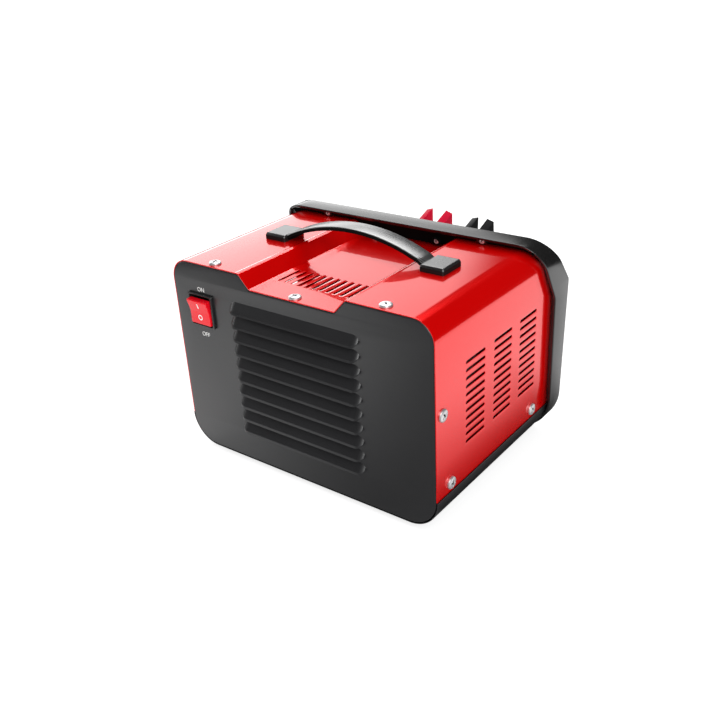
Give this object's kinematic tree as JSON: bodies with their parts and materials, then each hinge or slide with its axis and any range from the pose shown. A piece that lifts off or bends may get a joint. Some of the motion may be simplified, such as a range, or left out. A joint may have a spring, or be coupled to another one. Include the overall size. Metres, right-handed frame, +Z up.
{
  "type": "car battery charger",
  "caption": "Car battery charger: red cover with a trough, louvred black back, moulded front frame, strap handle, rocker switches and clamps parked in the front tray.",
  "frame": {"origin": "centre of the bounding box in plan, on the surface the feet stand on", "axes": "+Z up, +Y towards the louvred back, +X towards the side with the rear switch"},
  "size_m": [0.256, 0.1971, 0.1916],
  "materials": {
    "red_paint": "gloss",
    "black_paint": "satin",
    "black_moulding": "satin",
    "strap": "satin",
    "black_plastic": "satin",
    "red_plastic": "gloss",
    "bright_steel": "polished",
    "rubber": "matte",
    "dial_white": "matte",
    "clear": "clear",
    "lens_red": "gloss",
    "lens_green": "gloss",
    "iron": "satin",
    "copper": "varnished",
    "aluminium": "satin"
  },
  "bodies": {
    "case": {"cover": "red_paint", "base_pan": "black_paint", "rear_panel": "black_paint", "front_panel": "black_paint", "front_frame": "black_moulding", "handle_strap": "strap", "handle_cap_left": "black_plastic", "handle_cap_right": "black_plastic", "rear_switch_housing": "black_plastic", "front_switch_housing": "black_plastic", "ammeter_case": "black_plastic", "selector_body": "black_plastic", "fuse_cap": "black_plastic", "parking_post_red": "black_plastic", "parking_post_black": "black_plastic", "thermal_breaker": "black_plastic", "clamp_black_fixed": "black_plastic", "clamp_red_fixed": "red_plastic", "top_screw_left": "bright_steel", "top_screw_middle": "bright_steel", "top_screw_right": "bright_steel", "side_screw_left_upper": "bright_steel", "side_screw_left_rear": "bright_steel", "side_screw_left_front": "bright_steel", "side_screw_right_upper": "bright_steel", "side_screw_right_rear": "bright_steel", "side_screw_right_front": "bright_steel", "frame_screw_left_outer": "bright_steel", "frame_screw_left_inner": "bright_steel", "frame_screw_right_outer": "bright_steel", "frame_screw_right_inner": "bright_steel", "clamp_red_pin": "bright_steel", "clamp_black_pin": "bright_steel", "clamp_red_spring": "bright_steel", "clamp_black_spring": "bright_steel", "diode_rear": "bright_steel", "diode_front": "bright_steel", "foot_left_rear": "rubber", "foot_left_front": "rubber", "foot_right_rear": "rubber", "foot_right_front": "rubber", "mains_gland": "rubber", "lead_gland_red": "rubber", "lead_gland_black": "rubber", "ammeter_dial": "dial_white", "terminal_block": "dial_white", "ammeter_window": "clear", "lamp_lens_charging": "lens_red", "lamp_lens_charged": "lens_green", "transformer_core": "iron", "primary_winding": "copper", "secondary_winding": "copper", "transformer_bracket": "aluminium", "rectifier_plate": "aluminium"},
    "rear_rocker": {"rear_switch_rocker": "red_plastic"},
    "front_rocker": {"front_switch_rocker": "red_plastic"},
    "selector": {"selector_knob": "black_plastic"},
    "needle": {"ammeter_needle": "red_plastic"},
    "red_clamp_half": {"clamp_red_moving": "red_plastic"},
    "black_clamp_half": {"clamp_black_moving": "black_plastic"}
  },
  "joints": [
    {"name": "rear_switch", "type": "hinge", "parent": "case", "child": "rear_rocker", "pos_m": [0.0933, 0.0889, 0.13225], "axis": [1, 0, 0], "range_deg": [0, 16]},
    {"name": "front_switch", "type": "hinge", "parent": "case", "child": "front_rocker", "pos_m": [0.092, -0.0651, 0.04], "axis": [-1, 0, 0], "range_deg": [0, 16]},
    {"name": "selector_turn", "type": "hinge", "parent": "case", "child": "selector", "pos_m": [0.048, -0.0741, 0.04], "axis": [0, 1, 0], "range_deg": [0, 120]},
    {"name": "needle_swing", "type": "hinge", "parent": "case", "child": "needle", "pos_m": [0.066, -0.0752, 0.077], "axis": [0, 1, 0], "range_deg": [0, 84], "stiffness_Nm_per_rad": 0.0004, "springref_deg": -2.86},
    {"name": "red_clamp_squeeze", "type": "hinge", "parent": "case", "child": "red_clamp_half", "pos_m": [-0.0116, -0.0811, 0.111], "axis": [0, 1, 0], "range_deg": [0, 8], "stiffness_Nm_per_rad": 3, "springref_deg": -8.59},
    {"name": "black_clamp_squeeze", "type": "hinge", "parent": "case", "child": "black_clamp_half", "pos_m": [-0.0532, -0.0811, 0.1095], "axis": [0, 1, 0], "range_deg": [0, 5], "stiffness_Nm_per_rad": 3, "springref_deg": -8.59}
  ]
}
